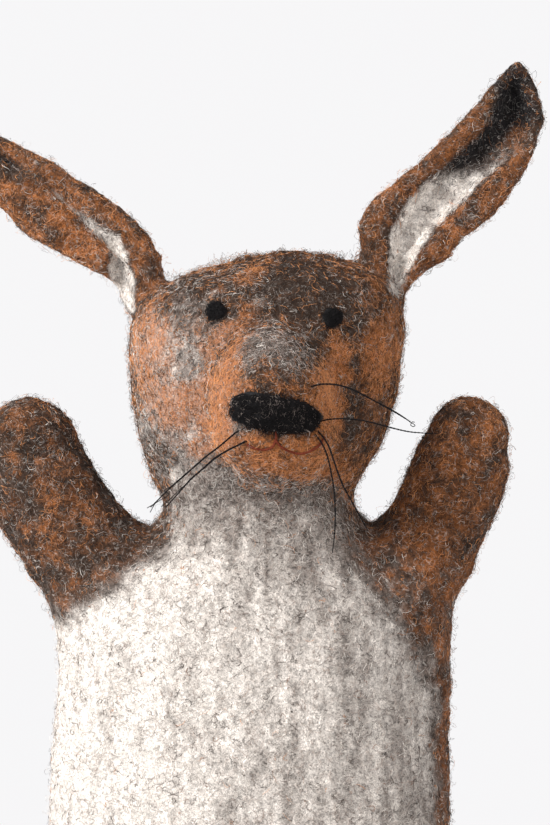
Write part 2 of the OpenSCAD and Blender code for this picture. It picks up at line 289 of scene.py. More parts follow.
def ear_field(side, x, y, z):
    """A cupped ear with rolled edges around its lining, which lies deeper."""
    hinge, way = EARS[side].hinge, EARS[side].way
    flat_x, flat_z = x[:, :, 0], z[0, 0, :][None, :]
    edge = outline_distance(softened(EAR_OUTLINES[side]), flat_x, flat_z)
    floor = smooth(-1.0, 5.5, -outline_distance(softened(LININGS[side]), flat_x, flat_z))
    out = (flat_x - hinge[0]) * way[0] + (flat_z - hinge[2]) * way[2]
    middle = hinge[1] + 0.08 * out - 2.0 + EAR_CUP * floor
    thick = 4.1 - 1.9 * floor - 1.3 * smooth(40, 88, out)
    beyond = np.maximum(edge + thick, 0)[:, None, :]
    raw = np.sqrt(beyond ** 2 + (y - middle[:, None, :]) ** 2) - thick[:, None, :]
    slope = np.sqrt(sum(g * g for g in np.gradient(raw, PITCH)))
    return raw / np.maximum(slope, 1)


def head_without_ears(x, y, z):
    field = column(HEAD, x, y, z)
    field = np.maximum(field, z - HEAD_TOP)
    for middle, halves in MUZZLE_BALLS:
        field = union(field, egg(middle, halves, x, y, z), 6)
    return field


def hollow(x, y, z):
    """The space for the hand: palm, index finger, thumb and middle finger."""
    palm = np.maximum(column(GLOVE, x, y, z, WALL), z - 162)
    field = union(palm, rod((1, -1, 150), (1, -1, 222), 12, x, y, z), 6)
    left, right = [chain(ARM_BALLS[side], x, y, z, WALL + 0.5, ARM_DEPTH) for side in SIDES]
    return union(field, np.minimum(left, right), 4)


def felt_field():
    """The whole felt body of the puppet on the grid, hollow and as its outside alone."""
    ax, ay, az = grid_axes()
    x, y, z = ax[:, None, None], ay[None, :, None], az[None, None, :]
    field = np.maximum(column(GLOVE, x, y, z), z - 178)
    for side in SIDES:
        field = union(field, chain(ARM_BALLS[side], x, y, z, 0, ARM_DEPTH), 9)
    field = union(field, head_without_ears(x, y, z), 5)
    for side in SIDES:
        field = union(field, ear_field(side, x, y, z), 5)
    outside = cut_away(field, z + 0 * x, 3)
    field = np.maximum(outside, -hollow(x, y, z))
    return field.astype(np.float32), outside.astype(np.float32)


def sample(field, points):
    """A field's value at any points, from the grid around each."""
    place = np.clip((points - GRID_LOW) / PITCH, 0, np.array(field.shape) - 1.001)
    low = place.astype(np.int32)
    return between(field, low, (place - low).astype(np.float32))


def outward(field, points, step=1.2):
    """The direction straight out of the felt at each point."""
    slope = []
    for axis in range(3):
        move = np.zeros(3)
        move[axis] = step
        slope.append(sample(field, points + move) - sample(field, points - move))
    return unit(np.stack(slope, 1))


def surface_nets(field):
    """Points and four-sided faces of the field's zero level, one point for each cell it passes."""
    counts = field.shape
    inside = field < 0
    cells, places, faces = [], [], []
    for axis in range(3):
        b, c = (axis + 1) % 3, (axis + 2) % 3
        near = [slice(1, -1)] * 3
        far = [slice(1, -1)] * 3
        near[axis], far[axis] = slice(0, -1), slice(1, None)
        near, far = tuple(near), tuple(far)
        hit = np.stack(np.nonzero(inside[near] != inside[far]), 1)
        corner = hit + 1
        corner[:, axis] -= 1
        after = corner.copy()
        after[:, axis] += 1
        v0, v1 = field[tuple(corner.T)], field[tuple(after.T)]
        place = corner.astype(float)
        place[:, axis] += v0 / (v0 - v1)
        around = []
        for back_b, back_c in ((0, 0), (1, 0), (1, 1), (0, 1)):
            cell = corner.copy()
            cell[:, b] -= back_b
            cell[:, c] -= back_c
            around.append(np.ravel_multi_index(tuple(cell.T), counts))
            cells.append(around[-1])
            places.append(place)
        quad = np.stack(around, 1)
        faces.append(np.where((v0 < 0)[:, None], quad, quad[:, ::-1]))
    cells, places, faces = np.concatenate(cells), np.concatenate(places), np.concatenate(faces)
    names, index = np.unique(cells, return_inverse=True)
    share = np.bincount(index)
    points = np.stack([np.bincount(index, places[:, a]) / share for a in range(3)], 1)
    return GRID_LOW + PITCH * points, np.searchsorted(names, faces)


# ---- The wool's colours

# Wool colours as shares of light, before any shade
WOOLS = {
    "white": (0.76, 0.71, 0.665),
    "grey": (0.105, 0.083, 0.071),
    "orange": (0.25, 0.086, 0.024),
    "rust": (0.15, 0.052, 0.015),
    "brown": (0.040, 0.023, 0.015),
    "black": (0.006, 0.005, 0.006),
}
WOOL_NAMES = list(WOOLS)

# The white belly's outline in the front view: x, z
BELLY = [
    (-24, 195), (-6, 190), (8, 189), (22, 191), (31, 184), (33, 176), (33, 164), (43, 154),
    (54, 138), (60.5, 121), (60.5, 100), (59.5, -10), (-80, -10), (-80, 138), (-62, 147), (-46, 158),
    (-32, 170), (-29, 182),
]

# Spots of wool felted onto the head, and one streak of painted shade: x, z, half width, half height, lean,
# amount
SPOTS = {
    "brown": [
        (-16, 249, 14, 9, 0, 1.0), (15, 256, 12, 7, 0, 1.9), (26, 243, 9, 8, 0, 1.4),
        # The brown streak at x 32, z 218 is painted shade in the crease at the muzzle's left (+X) side.
        (8.5, 234, 9, 5.5, 0, 1.2), (7, 224, 13, 3.0, 0, 1.9), (32, 218, 3, 16, 0, 2.0),
        (-32, 202, 6, 5, 0, 1.3), (-20, 186, 8, 6, 0, 0.8),
    ],
    "grey": [
        (-17, 247, 13, 9, 0, 0.9), (-30, 251, 7, 7, 0, 1.0), (3, 252.5, 6, 5, 0, 1.4),
        (8.5, 234, 9, 5.5, 0, 2.6), (33, 219, 3, 14, 0, 1.0), (-22, 229, 4, 5, 0, 2.0),
        (-37, 209, 4, 7, 0, 1.8), (-5, 209, 4, 3, 0, 1.8), (10, 192, 12, 4, 0, 0.8),
        (-14, 192, 11, 6, 0, 1.6), (26, 191, 6, 5, 0, 1.2),
    ],
    "orange": [
        (0, 259.5, 6, 3.5, 0, 1.4), (-5, 242.5, 4, 7, -35, 1.5), (19, 251, 2.5, 8, 15, 1.6),
        (24, 223, 3.2, 14, -6, 3.0), (29, 226, 4, 10, 0, 1.4), (-9, 221, 4, 12, 8, 2.0),
        (7, 223, 13, 3.5, 0, 1.6), (42, 235, 6, 12, 0, 1.7), (31, 237, 4, 6, 0, 1.0),
        (-35, 234, 6, 9, 0, 1.8), (-27, 218, 8, 5, 0, 1.6), (-13, 209, 4, 6, 0, 1.6),
        (5, 202, 11, 4, 0, 2.0), (12, 195, 14, 6, 0, 1.6), (32, 197, 7, 8, 0, 0.9),
    ],
}
SPOT_STRENGTH = 1.35


def painted_light_cheek(points):
    """How far a point is on the puppet's right cheek, where white wool is mixed into every other as painted
    light.
    """
    x, y, z = points.T
    across = smooth(5, -35, x) * smooth(-53, -47, x)
    return across * smooth(178, 195, z) * smooth(252, 238, z) * smooth(0, -10, y)


def add_wool(scores, **amounts):
    """Adds to the scores of the named wools."""
    for wool, amount in amounts.items():
        scores[:, WOOL_NAMES.index(wool)] += amount


def score_cheeks(scores, points):
    """The shaded left cheek, the right one made paler with painted light, and the darker crown."""
    x, y, z = points.T
    shaded = smooth(8, 24, x) * smooth(238, 225, z) * smooth(182, 192, z) * smooth(0, -10, y)
    add_wool(scores, orange=0.45 * shaded, grey=-0.3 * shaded, white=-0.5 * shaded)
    pale = painted_light_cheek(points)
    add_wool(scores, grey=0.4 * pale, white=2.3 * pale, orange=0.7 * pale)
    add_wool(scores, brown=0.35 * smooth(238, 250, z))


def score_arms(scores, points):
    """The brown arms, the left one with more rust and orange."""
    x, _, z = points.T
    left = smooth(-4, 6, ARMS["left"].along(points)) * (x > 30) * (z < 230)
    right = smooth(-14, 4, ARMS["right"].along(points)) * (x < -28) * (z < 230)
    both = left + right
    add_wool(scores, orange=0.15 * left - 0.45 * right, rust=0.35 * left - 0.05 * right)
    add_wool(scores, grey=-(0.4 * right + 0.5 * left), white=-1.3 * both)
    add_wool(scores, brown=0.7 * right + 0.4 * left, black=0.5 * both)


def score_belly(scores, points, wander):
    """The white belly, with a softer edge, more grey at the throat and painted light towards its -X side;
    returns the belly's share.
    """
    x, y, z = points.T
    front = smooth(15, 1, y + 1.8 * wander)
    # Painted light: the belly gets whiter and less grey towards -X, the puppet's right, where the window
    # light falls.
    painted_light_side = smooth(60, -60, x)
    throat = smooth(150, 185, z)
    soft = 5 * smooth(118, 150, z)
    depth = -outline_distance(BELLY, x + wander, z + 1.3 * wander)
    belly = smooth(-4 - soft, 5 + soft, depth) * front
    add_wool(
        scores, white=belly * (3.2 + 0.6 * painted_light_side - 0.5 * throat),
        grey=belly * (2.1 - 0.4 * painted_light_side - 0.15 * smooth(15, 55, x) + 0.3 * throat),
        brown=-(1.0 - 1.1 * throat) * belly, orange=-(2.2 - 1.2 * throat) * belly, rust=-1.6 * belly,
    )
    streaks = noise(points * np.array([1, 1, 0.12]), 3.0, 2.7)
    streaks += 0.8 * noise(points * np.array([1, 1, 0.2]), 1.6, 5.7)
    add_wool(scores, grey=belly * (0.4 * streaks - 0.1))
    flank = smooth(8, 0, np.abs(z - 143 + 0.6 * (x - 50))) * smooth(44, 52, x)
    add_wool(scores, orange=0.8 * flank)
    return belly


def score_spots(scores, points, wander):
    """The spots on the front of the head."""
    x, y, z = points.T
    face = smooth(0, -12, y)
    for wool, spots in SPOTS.items():
        for cx, cz, wide, high, lean, amount in spots:
            c, s = math.cos(math.radians(lean)), math.sin(math.radians(lean))
            dx, dz = x - cx + 0.7 * wander, z - cz - 0.6 * wander
            near = ((dx * c + dz * s) / wide) ** 2 + ((dz * c - dx * s) / high) ** 2
            add_wool(scores, **{wool: SPOT_STRENGTH * amount * face * np.exp(-0.7 * near)})


def score_ear(scores, points, side, wander):
    """An ear's brown back, white lining and black end; returns the lining's share."""
    x, y, z = points.T
    hinge, way = EARS[side].hinge, EARS[side].way
    out = EARS[side].along(points)
    ear = smooth(-16, 0, out) * (z > 240) * (np.sign(x) == np.sign(hinge[0])) * (np.abs(x) > 28)
    before = smooth(4, 0, y - hinge[1] - 0.08 * out)
    lined = smooth(0.0, 3.0, -outline_distance(LININGS[side], x + 0.3 * wander, z)) * ear * before
    across = (x - hinge[0]) * way[2] - (z - hinge[2]) * way[0]
    lower = smooth(5, 10, across) * (side == "left")
    dark = smooth(36, 60, out - 0.9 * across + 1.5 * wander)
    streak = noise(np.stack([across, y, 0.09 * out], 1), 1.7, 6.6)
    tip = smooth(66, 80, out)
    add_wool(
        scores, orange=ear * (0.75 - 2.6 * lined * (1 - dark * lower)),
        rust=ear * (0.75 - 2.2 * lined * (1 - dark * lower)),
        brown=ear * (0.4 + 0.8 * tip + 0.7 * streak) - lined * (0.9 - 1.2 * dark * lower),
        white=lined * (5.0 - 5.4 * dark), grey=lined * (2.6 - 1.8 * dark + 0.5 * streak),
        black=lined * dark * (5.2 - 3.2 * lower) + ear * 3.4 * tip,
    )
    return lined


def wool_scores(points):
    """How much of each wool there is at each point of the felt: the highest number wins."""
    rusty = smooth(-20, 40, points[:, 0])
    wander = 2.2 * noise(points, 9, 5.1) + 1.2 * noise(points, 3.5, 8.4)
    scores = np.zeros((len(points), len(WOOLS)), np.float32)
    add_wool(scores, white=-1.4, grey=0.05, brown=0.6, black=-0.9)
    add_wool(scores, orange=0.45 - 0.25 * rusty, rust=0.45 + 0.35 * rusty)
    score_cheeks(scores, points)
    score_arms(scores, points)
    belly = score_belly(scores, points, wander)
    score_spots(scores, points, wander)
    calm = sum(0.5 * score_ear(scores, points, side, wander) for side in SIDES)
    for i in range(len(WOOLS)):
        rough = 0.7 * noise(points, 9, 11.3 * i + 1) + 0.9 * noise(points, 4.0, 5.7 * i + 2)
        rough += 0.9 * noise(points, 2.0, 3.1 * i + 4)
        scores[:, i] += rough * (1 - 0.88 * belly) * (1 - np.minimum(calm, 1))
    return scores


def wool_colour(points):
    """The felt's colour at each point, with a little of every wool in it and the painted light and shade that
    the scores hold.
    """
    shares = np.exp(2.9 * wool_scores(points))
    shares /= shares.sum(1, keepdims=True)
    colour = shares @ np.array([WOOLS[name] for name in WOOL_NAMES])
    # Painted light: white mixed in on the right cheek, the side the window light falls on.
    pale = 0.22 * painted_light_cheek(points)[:, None]
    return (1 - pale) * colour + pale * np.array(WOOLS["white"])


# ---- Materials

def principled(name, colour, roughness, sheen=0.0):
    material = bpy.data.materials.new(name)
    material.use_nodes = True
    shader = material.node_tree.nodes["Principled BSDF"]
    shader.inputs["Base Color"].default_value = (*colour, 1)
    shader.inputs["Roughness"].default_value = roughness
    shader.inputs["Specular IOR Level"].default_value = 0.25
    shader.inputs["Sheen Weight"].default_value = sheen
    shader.inputs["Sheen Roughness"].default_value = 0.6
    return material, shader


def math_node(tree, operation, a, b=None, c=None):
    node = tree.nodes.new("ShaderNodeMath")
    node.operation = operation
    for socket, value in zip(node.inputs, (a, b, c)):
        if value is None:
            continue
        if isinstance(value, (int, float)):
            socket.default_value = value
        else:
            tree.links.new(value, socket)
    return node.outputs[0]


def noise_node(tree, coordinates, scale, detail=2.0, distortion=0.0, shift=0.0):
    moved = tree.nodes.new("ShaderNodeMapping")
    moved.inputs["Location"].default_value = (shift, 0.7 * shift, 1.3 * shift)
    tree.links.new(coordinates, moved.inputs["Vector"])
    node = tree.nodes.new("ShaderNodeTexNoise")
    node.inputs["Scale"].default_value = scale
    node.inputs["Detail"].default_value = detail
    node.inputs["Distortion"].default_value = distortion
    tree.links.new(moved.outputs[0], node.inputs["Vector"])
    return node.outputs["Fac"]


def mix_node(tree, amount, a, b):
    node = tree.nodes.new("ShaderNodeMix")
    node.data_type = "RGBA"
    for socket, value in ((node.inputs["Factor"], amount), (node.inputs["A"], a), (node.inputs["B"], b)):
        colour_socket = socket
        if socket.name in "AB":
            colour_socket = [s for s in node.inputs if s.name == socket.name and s.type == "RGBA"][0]
        if isinstance(value, (int, float)):
            colour_socket.default_value = value
        elif isinstance(value, tuple):
            colour_socket.default_value = (*value, 1)
        else:
            tree.links.new(value, colour_socket)
    return [s for s in node.outputs if s.type == "RGBA"][0]


def scaled(tree, colour, amount):
    """A colour made lighter or darker by an amount."""
    node = tree.nodes.new("ShaderNodeVectorMath")
    node.operation = "SCALE"
    tree.links.new(colour, node.inputs[0])
    if isinstance(amount, float):
        node.inputs["Scale"].default_value = amount
    else:
        tree.links.new(amount, node.inputs["Scale"])
    return node.outputs[0]


def add_bump(tree, shader, height, strength, distance):
    """Makes a material's surface look uneven."""
    bump = tree.nodes.new("ShaderNodeBump")
    bump.inputs["Strength"].default_value = strength
    bump.inputs["Distance"].default_value = distance
    tree.links.new(height, bump.inputs["Height"])
    tree.links.new(bump.outputs[0], shader.inputs["Normal"])


def fibre_lines(tree, coordinates, scale, width, shift):
    """Thin curly lines, where a tangled noise passes its middle value."""
    value = noise_node(tree, coordinates, scale, 1.0, 1.6, shift)
    away = math_node(tree, "ABSOLUTE", math_node(tree, "SUBTRACT", value, 0.5))
    away = math_node(tree, "SMOOTH_MIN", math_node(tree, "DIVIDE", away, width), 1.0, 0.2)
    return math_node(tree, "MAXIMUM", math_node(tree, "SUBTRACT", 1.0, away), 0.0)


def wool_shade(tree, paint, cloudy, fine):
    """Light and dark clouds in the wool, weaker where it is pale."""
    shade = math_node(tree, "MULTIPLY_ADD", cloudy, 3.4, -0.75)
    shade = math_node(tree, "ADD", shade, math_node(tree, "MULTIPLY_ADD", fine, 2.6, -1.25))
    lightness = tree.nodes.new("ShaderNodeRGBToBW")
    tree.links.new(paint, lightness.inputs[0])
    contrast = math_node(tree, "MULTIPLY_ADD", lightness.outputs[0], -0.9, 1.0)
    shade = math_node(tree, "MULTIPLY_ADD", math_node(tree, "SUBTRACT", shade, 1.0), contrast, 1.0)
    return math_node(tree, "MAXIMUM", shade, 0.18)


def wool_material(name, light, dark, strength=1.0):
    """Felted wool: the painted colours, with a tangle of lighter and darker fibres over them; the darker
    lines are also painted shadow between the curls.
    """
    material, shader = principled(name, (0.5, 0.5, 0.5), 0.95, 0.03)
    tree = material.node_tree
    place = tree.nodes.new("ShaderNodeTexCoord").outputs["Object"]
    attribute = tree.nodes.new("ShaderNodeAttribute")
    attribute.attribute_name = "Paint"
    paint = attribute.outputs["Color"]
    cloudy = noise_node(tree, place, 520, 4.0, 0.8, 3.0)
    fine = noise_node(tree, place, 1150, 2.0, 1.2, 7.0)
    colour = scaled(tree, paint, wool_shade(tree, paint, cloudy, fine))
    own_light = scaled(tree, paint, 2.0)
    lines = []
    # The dark tint gives darker fibres and also painted shadow between the curls.
    for scale, width, shift, tint, share in (
        (330, 0.035, 1.0, dark, 0.5), (260, 0.030, 2.0, own_light, 0.7), (520, 0.045, 4.0, own_light, 0.5),
        (410, 0.035, 5.0, dark, 0.45), (300, 0.022, 6.0, light, 0.3),
    ):
        lines.append(fibre_lines(tree, place, scale, width, shift))
        colour = mix_node(tree, math_node(tree, "MULTIPLY", lines[-1], share * strength), colour, tint)
    tree.links.new(colour, shader.inputs["Base Color"])
    height = math_node(tree, "ADD", cloudy, math_node(tree, "MULTIPLY", lines[1], 0.5))
    height = math_node(tree, "ADD", height, math_node(tree, "MULTIPLY", lines[2], 0.4))
    add_bump(tree, shader, height, 0.7, 0.0006)
    return material


def thread_material(name, colour, other):
    """Spun thread: two tones along its fibres."""
    material, shader = principled(name, colour, 0.85)
    shader.inputs["Specular IOR Level"].default_value = 0.05
    tree = material.node_tree
    place = tree.nodes.new("ShaderNodeTexCoord").outputs["Object"]
    fine = noise_node(tree, place, 1800, 3.0, 0.4, 1.0)
    tree.links.new(mix_node(tree, fine, colour, other), shader.inputs["Base Color"])
    add_bump(tree, shader, fine, 0.5, 0.0001)
    return material


# ---- Making pieces

def add_mesh(name, points, faces, materials, normals=None, colours=None, face_materials=None):
    """A mesh object from points in millimetres and rows of faces with the same number of corners."""
    mesh = bpy.data.meshes.new(name)
    groups = faces if isinstance(faces, list) else [faces]
    corners = np.concatenate([g.ravel() for g in groups]).astype(np.int32)
    sizes = np.concatenate([np.full(len(g), g.shape[1]) for g in groups]).astype(np.int32)
    starts = np.concatenate([[0], np.cumsum(sizes)[:-1]]).astype(np.int32)
    mesh.vertices.add(len(points))
    mesh.vertices.foreach_set("co", (np.asarray(points, np.float32) * MM).ravel())
    mesh.loops.add(len(corners))
    mesh.loops.foreach_set("vertex_index", corners)
    mesh.polygons.add(len(sizes))
    mesh.polygons.foreach_set("loop_start", starts)
    mesh.polygons.foreach_set("use_smooth", np.ones(len(sizes), bool))
    if face_materials is not None:
        mesh.polygons.foreach_set("material_index", np.asarray(face_materials, np.int32))
    mesh.update(calc_edges=True)
    for material in materials:
        mesh.materials.append(material)
    if colours is not None:
        layer = mesh.color_attributes.new("Paint", "FLOAT_COLOR", "POINT")
        full = np.concatenate([colours, np.ones((len(colours), 1))], 1).astype(np.float32)
        layer.data.foreach_set("color", full.ravel())
    if normals is not None:
        mesh.normals_split_custom_set_from_vertices(normals.astype(np.float32))
    piece = bpy.data.objects.new(name, mesh)
    bpy.context.scene.collection.objects.link(piece)
    return piece


def lumps(points):
    """How far the felt's surface stands proud of its plain shape, in millimetres."""
    return 0.65 * noise(points, 9, 3.3) + 0.38 * noise(points, 4.2, 6.1) + 0.2 * noise(points, 2.1, 9.7)


def face_crosses(points, faces):
    """For each four-sided face, a vector straight out of it, as long as twice its area."""
    a = points[faces[:, 2]] - points[faces[:, 0]]
    b = points[faces[:, 3]] - points[faces[:, 1]]
    return np.cross(a, b)


def point_normals(points, faces):
    """The direction out of the surface at each point, from the faces around it."""
    across = face_crosses(points, faces)
    total = np.zeros_like(points)
    for corner in range(4):
        for axis in range(3):
            total[:, axis] += np.bincount(faces[:, corner], across[:, axis], len(points))
    return unit(total)


# ---- Cutting the felt at the joints

# How far from the shoulder an arm's stretch starts and ends, and then the paw's, in millimetres
LOW_ARM, MID_ARM, HIGH_ARM, END_ARM = 2.0, 18.5, 20.5, 38.0

# The heights between which the felt is the throat's
THROAT_LOW, THROAT_HIGH = 171.5, 187.0


def felt_region(points):
    """The name of the skin piece that each point belongs to."""
    x, _, z = points.T
    beside_body = {
        "left": (x > 36.5 + 0.42 * (z - 174)) & (z < 225),
        "right": (x < -34.5 - 0.5 * (z - 173)) & (z < 225),
    }
    region = np.full(len(points), "body_skin", dtype="U16")
    region[z > THROAT_LOW] = "throat_skin"
    region[z > THROAT_HIGH] = "head_skin"
    for side in SIDES:
        out = ARMS[side].along(points)
        region[beside_body[side] & (z > THROAT_LOW)] = "body_skin"
        region[beside_body[side] & (out > 1.0)] = side + "_arm_skin"
        region[beside_body[side] & (out > 19.5)] = side + "_paw_skin"
        near_ear = (np.sign(x) == np.sign(EARS[side].hinge[0])) & (np.abs(x) > 28) & (z > 240)
        region[near_ear & (EARS[side].along(points) > -1.0)] = side + "_ear_skin"
    return region


def attach(piece, region):
    """Parents the torso's felt and the fibres on it to the torso, and bakes the place of every other piece
    into its mesh.
    """
    side, part = region.split("_")[:2]
    if region == "body_skin":
        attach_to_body(piece, "torso")
    elif region == "throat_skin":
        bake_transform(piece)
    elif region == "head_skin":
        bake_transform(piece)
    elif part == "ear":
        EARS[side].spot(0)
        EARS[side].spot(14)
        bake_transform(piece)
    elif part == "arm":
        ARMS[side].spot(LOW_ARM)
        ARMS[side].spot(MID_ARM)
        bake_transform(piece)
    else:
        start, end = ARMS[side].spot(HIGH_ARM), ARMS[side].spot(END_ARM)
        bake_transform(piece)


# ---- The felt skin

SKIN_REPLACES = {
    "body_skin": ["body_glove", "belly_layer"],
    "throat_skin": ["neck_collar"],
    "head_skin": ["head_shell", "head_stuffing", "finger_pocket", "muzzle"],
    "left_arm_skin": ["left_sleeve"],
    "left_paw_skin": ["left_paw"],
    "right_arm_skin": ["right_sleeve"],
    "right_paw_skin": ["right_paw"],
    "left_ear_skin": ["left_ear", "left_ear_lining"],
    "right_ear_skin": ["right_ear", "right_ear_lining"],
}

# Each ear is one flat cut of felt, folded at its root: its size in metres and area in square metres
EAR_CUTS = {"left_ear_skin": ((0.044, 0.096), 0.0033), "right_ear_skin": ((0.042, 0.094), 0.0030)}


def closed(points, faces):
    """The points and faces with a fan of triangles over the open edge, inside the head."""
    edges = np.concatenate([faces[:, [a, (a + 1) % 4]] for a in range(4)])
    _, first, uses = np.unique(np.sort(edges, axis=1), axis=0, return_index=True, return_counts=True)
    rim = edges[first[uses == 1]]
    middle = points[np.unique(rim)].mean(0)
    fan = np.stack([rim[:, 1], rim[:, 0], np.full(len(rim), len(points))], 1)
    return np.append(points, [middle], axis=0), [faces, fan]


felt, outside = felt_field()
skin_points, skin_faces = surface_nets(felt)
skin_out = outward(felt, skin_points)
on_show = np.abs(sample(outside, skin_points)) < 1.5
skin_points = skin_points + skin_out * (lumps(skin_points) * np.where(on_show, 1.0, 0.4))[:, None]
skin_points[:, 2] = np.maximum(skin_points[:, 2], 0)
skin_normals = point_normals(skin_points, skin_faces)
skin_colours = wool_colour(skin_points)
inner_wool = np.array(WOOLS["grey"]) * 1.3
skin_colours[~on_show] = 0.4 * skin_colours[~on_show] + 0.6 * inner_wool
face_regions = felt_region(skin_points[skin_faces].mean(1))

# The second colour is for darker fibres and for painted shadow between the curls.
felt_look = wool_material("felted_wool", (0.80, 0.76, 0.72), (0.035, 0.028, 0.027))
for region, nodes in SKIN_REPLACES.items():
    faces = skin_faces[face_regions == region]
    used, index = np.unique(faces, return_inverse=True)
    points, faces = skin_points[used], index.reshape(faces.shape)
    normals, colours = skin_normals[used], skin_colours[used]
    if region in EAR_CUTS:
        points, faces = closed(points, faces)
        normals = np.append(normals, [[0, 0, -1]], axis=0)
        colours = np.append(colours, colours[-1:], axis=0)
    skin = add_mesh(region, points, faces, [felt_look], normals=normals, colours=colours)
    attach(skin, region)
    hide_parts(*nodes)


def face_depth(x, z):
    """The y of the felt's front at places in the front view."""
    x, z = np.atleast_1d(np.asarray(x, float)), np.atleast_1d(np.asarray(z, float))
    steps = np.arange(-68.0, 20.0, 0.4)
    points = np.empty((len(x), len(steps), 3))
    points[..., 0], points[..., 1], points[..., 2] = x[:, None], steps[None], z[:, None]
    values = sample(outside, points.reshape(-1, 3)).reshape(len(x), -1)
    values -= lumps(points.reshape(-1, 3)).reshape(len(x), -1)
    return steps[np.argmax(values < 0, axis=1)]


# ---- Pads of black wool

class Pad:
    """A flat pad of wool felted onto the face: where it is, its half sizes, its lean and thickness."""

    def __init__(self, middle, halves, lean, proud, squareness):
        self.middle, self.halves, self.proud, self.squareness = middle, halves, proud, squareness
        self.cos, self.sin = math.cos(math.radians(lean)), math.sin(math.radians(lean))

    def share_out(self, x, z):
        """0 at the pad's middle and 1 at its edge."""
        dx, dz = x - self.middle[0], z - self.middle[1]
        a = np.abs(dx * self.cos + dz * self.sin) / self.halves[0]
        b = np.abs(dz * self.cos - dx * self.sin) / self.halves[1]
        return (a ** self.squareness + b ** self.squareness) ** (1 / self.squareness)

    def height(self, points):
        share = np.clip(self.share_out(points[:, 0], points[:, 2]), 0, 1)
        return lumps(points) + self.proud * np.sqrt(1 - share ** 3)

    def places(self, reach, turn):
        """x and z in a direction from the pad's middle, at a share of the way to its edge."""
        a = reach * np.cos(turn) * self.halves[0]
        b = reach * np.sin(turn) * self.halves[1]
        x = self.middle[0] + a * self.cos - b * self.sin
        return x, self.middle[1] + a * self.sin + b * self.cos

    def front(self, shares, turns):
        """Points of the pad's front, ring by ring and then its middle, and the middle's y."""
        share, turn = np.meshgrid(shares, turns, indexing="ij")
        round_out = np.abs(np.cos(turn)) ** self.squareness + np.abs(np.sin(turn)) ** self.squareness
        reach = share * round_out ** (-1 / self.squareness)
        reach = reach * (1 + 0.06 * np.sin(3 * turn + 1) + 0.05 * np.sin(7 * turn))
        x, z = [np.append(ring, end) for ring, end in zip(self.places(reach, turn), self.middle)]
        edge = np.append(share, 0)
        y = face_depth(x, z) - self.proud * np.sqrt(1 - edge ** 3) + 0.8 * (edge > 0.99)
        points = np.stack([x, y, z], 1)
        points[:, 1] -= 0.35 * noise(points, 2.4, 1.7) + 0.2 * noise(points, 1.2, 4.9)
        return points, y[-1]

    def mesh(self, name, look, colours):
        """The pad as a closed mesh: its front, and a cone behind it in the felt."""
        rings, n = 14, 64
        shares = np.linspace(0, 1, rings + 1)[1:]
        points, middle_y = self.front(shares, np.linspace(0, 2 * math.pi, n, endpoint=False))
        behind = [self.middle[0], middle_y + self.proud + 1.2, self.middle[1]]
        points = np.append(points, [behind], axis=0)
        i, j = np.meshgrid(np.arange(rings - 1), np.arange(n), indexing="ij")
        k = (j + 1) % n
        quads = np.stack([i * n + j, (i + 1) * n + j, (i + 1) * n + k, i * n + k], -1).reshape(-1, 4)
        here = np.arange(n)
        after = (here + 1) % n
        rim = (rings - 1) * n
        front_fan = np.stack([np.full(n, rings * n), here, after], 1)
        back_fan = np.stack([np.full(n, rings * n + 1), rim + after, rim + here], 1)
        faces = [quads, np.concatenate([front_fan, back_fan])]
        return add_mesh(name, points, faces, [look], colours=colours(points))

    def roots(self, count, seed):
        """Places for fibres on the pad's front."""
        rng = np.random.default_rng(seed)
        turn = rng.uniform(0, 2 * math.pi, count)
        x, z = self.places(np.sqrt(rng.random(count)), turn)
        return np.stack([x, face_depth(x, z) - 0.5 * self.proud, z], 1)


NOSE = Pad((6.6, 213.2), (15.0, 5.6), -9.5, 3.6, 3.4)
LEFT_EYE = Pad((25.8, 244.8), (3.6, 3.3), 10, 1.6, 2.0)
RIGHT_EYE = Pad((-12.8, 247.0), (3.5, 3.2), -8, 1.6, 2.0)


# ---- Fibres

FIBRE_COLOURS = {
    "white": (0.82, 0.77, 0.72),
    "grey": (0.48, 0.40, 0.36),
    "orange": (0.72, 0.32, 0.135),
    "rust": (0.27, 0.10, 0.032),
    "brown": (0.050, 0.029, 0.020),
    "black": (0.006, 0.005, 0.006),
}
fibre_looks = [principled("fibre_" + name, colour, 0.8)[0] for name, colour in FIBRE_COLOURS.items()]
FIBRE_STEPS = 6


def tubes(lines, radii, ups):
    """Three-sided closed tubes along rows of points, thin at both ends."""
    count, steps = lines.shape[:2]
    forward = unit(np.gradient(lines, axis=1))
    side = unit(np.cross(forward, ups))
    rise = np.cross(side, forward)
    taper = np.sin(np.linspace(0.12, math.pi - 0.12, steps)) ** 0.5
    rings = []
    for turn in (90, 210, 330):
        a = math.radians(turn)
        spoke = side * math.cos(a) + rise * math.sin(a)
        rings.append(lines + spoke * (radii[:, None] * taper[None])[..., None])
    points = np.stack(rings, 2).reshape(-1, 3)
    start = (np.arange(count) * steps * 3)[:, None] + (np.arange(steps - 1) * 3)[None]
    quads = []
    for k in range(3):
        j = (k + 1) % 3
        quads.append(np.stack([start + k, start + k + 3, start + j + 3, start + j], -1).reshape(count, -1, 4))
    quads = np.concatenate(quads, 1).reshape(-1, 4)
    first = np.arange(count) * steps * 3
    last = first + (steps - 1) * 3
    ends = np.concatenate([
        np.stack([first, first + 1, first + 2], 1), np.stack([last, last + 2, last + 1], 1)
    ])
    return points, quads, ends


